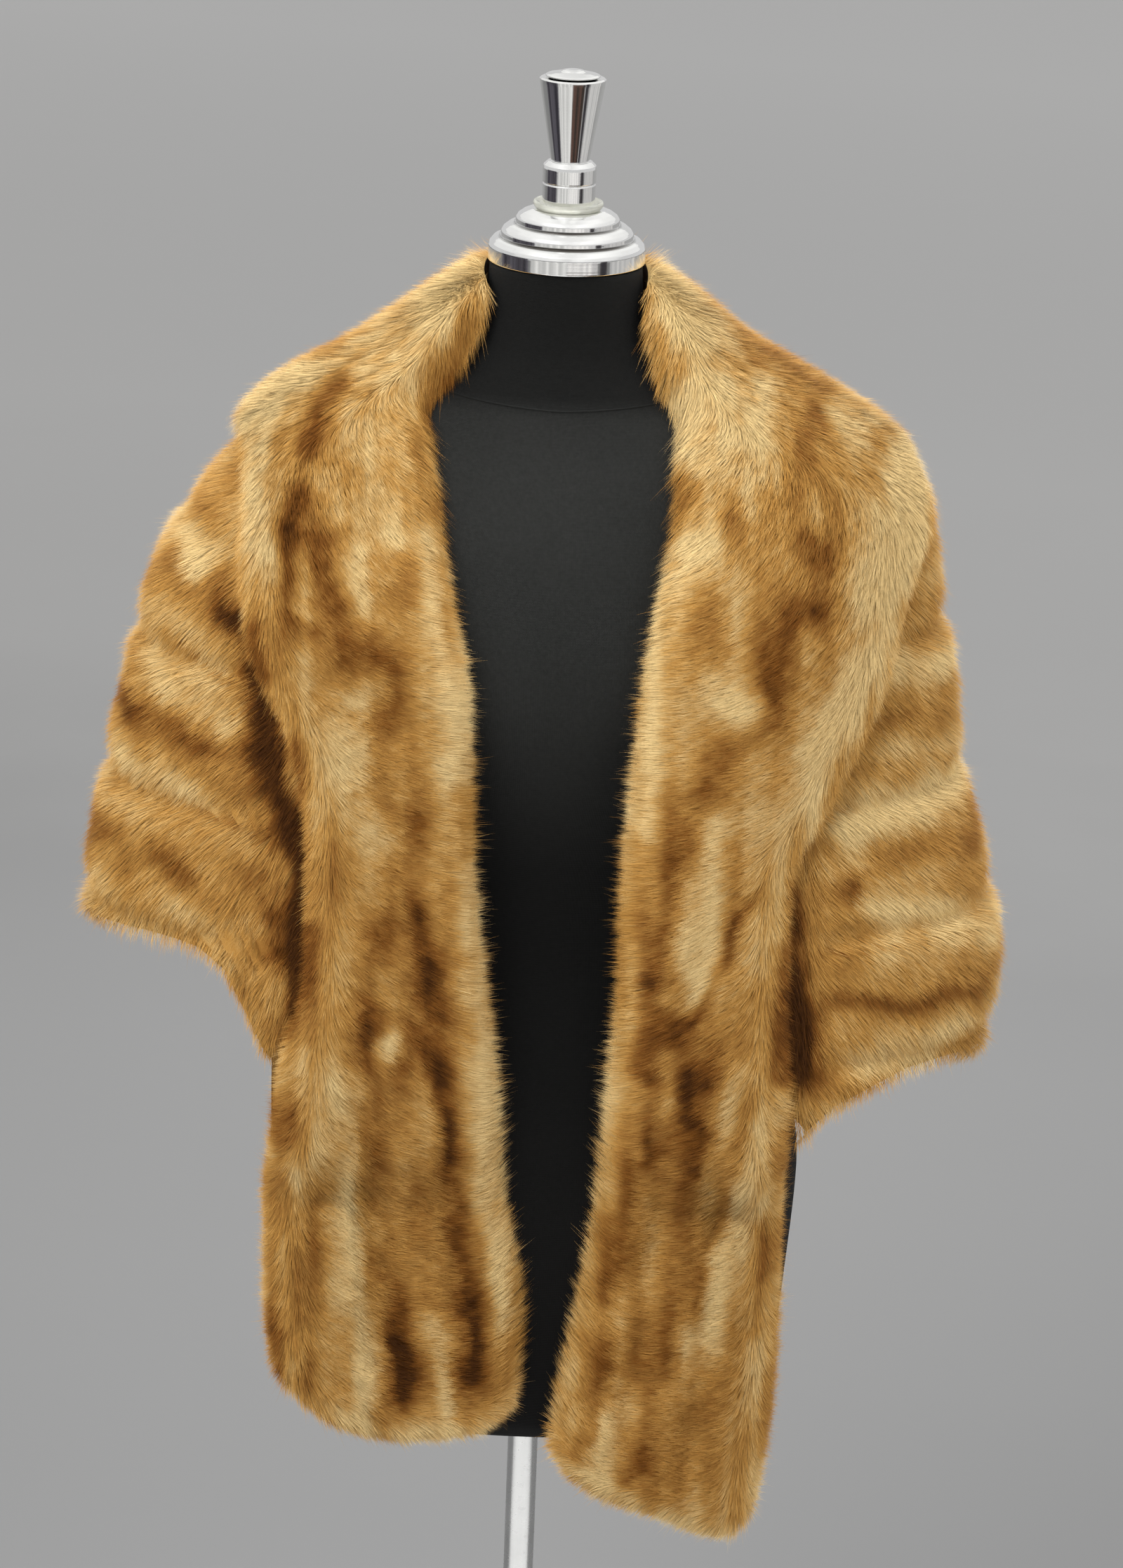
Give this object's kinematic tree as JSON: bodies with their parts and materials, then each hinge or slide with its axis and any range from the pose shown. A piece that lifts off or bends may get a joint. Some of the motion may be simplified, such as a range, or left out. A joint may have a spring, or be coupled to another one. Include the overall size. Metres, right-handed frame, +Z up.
{
  "type": "fur evening stole on dress form",
  "caption": "Open fur stole with shawl collar, short cape sides and long front panels, worn on a limbless dress form with a turned neck cap, pole and round base.",
  "frame": {"origin": "centre of the round base's underside, on the floor", "axes": "+Z up along the pole, the front of the form faces -Y, +X to the viewer's right when facing the front"},
  "size_m": [0.6438, 0.3103, 1.5462],
  "materials": {
    "cape": "long soft honey-brown fur",
    "collar": "long soft honey-brown fur",
    "front_panel_left": "long soft honey-brown fur",
    "front_panel_right": "long soft honey-brown fur",
    "form_torso": "matte black jersey",
    "neck_cap": "polished",
    "cap_washer": "cloudy clear plastic",
    "finial": "polished",
    "finial_top": "polished",
    "stand_pole": "polished",
    "stand_base": "polished"
  },
  "bodies": {
    "root": {"cape": "cape", "collar": "collar", "front_panel_left": "front_panel_left", "front_panel_right": "front_panel_right", "form_torso": "form_torso", "neck_cap": "neck_cap", "cap_washer": "cap_washer", "finial": "finial", "finial_top": "finial_top", "stand_pole": "stand_pole", "stand_base": "stand_base"}
  },
  "joints": []
}
